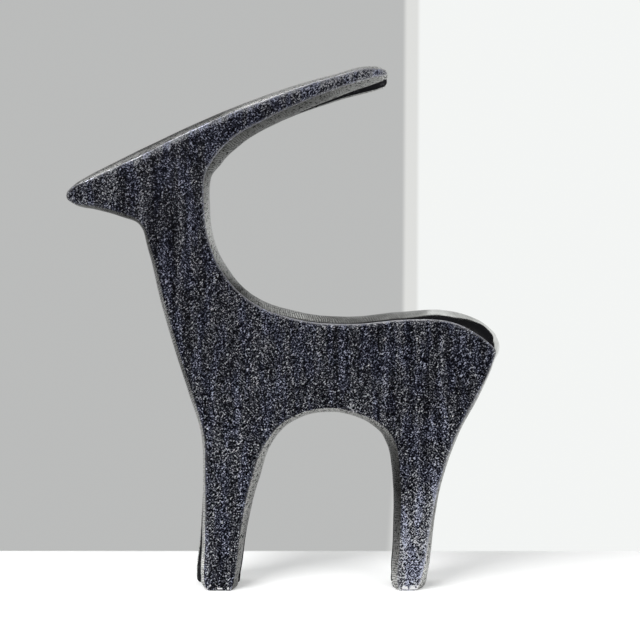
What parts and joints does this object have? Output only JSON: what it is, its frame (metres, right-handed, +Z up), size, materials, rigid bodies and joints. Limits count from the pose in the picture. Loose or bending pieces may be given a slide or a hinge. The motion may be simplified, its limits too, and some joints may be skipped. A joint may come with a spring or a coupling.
{
  "type": "aluminium deer sculpture",
  "caption": "Standing stylised deer cast as one thick flat slab, with a backswept split horn, an open back and split legs under a round arch.",
  "frame": {"origin": "on the ground under the middle of the deer's length and thickness", "axes": "+Z up, -X towards the nose, Y through the thickness with the near face at -Y"},
  "size_m": [0.3317, 0.038, 0.3999],
  "materials": {
    "antique_aluminium": "dark antiqued cast skin on the two flat faces, with belt-ground satin edges"
  },
  "bodies": {
    "root": {"deer": "antique_aluminium"}
  },
  "joints": []
}
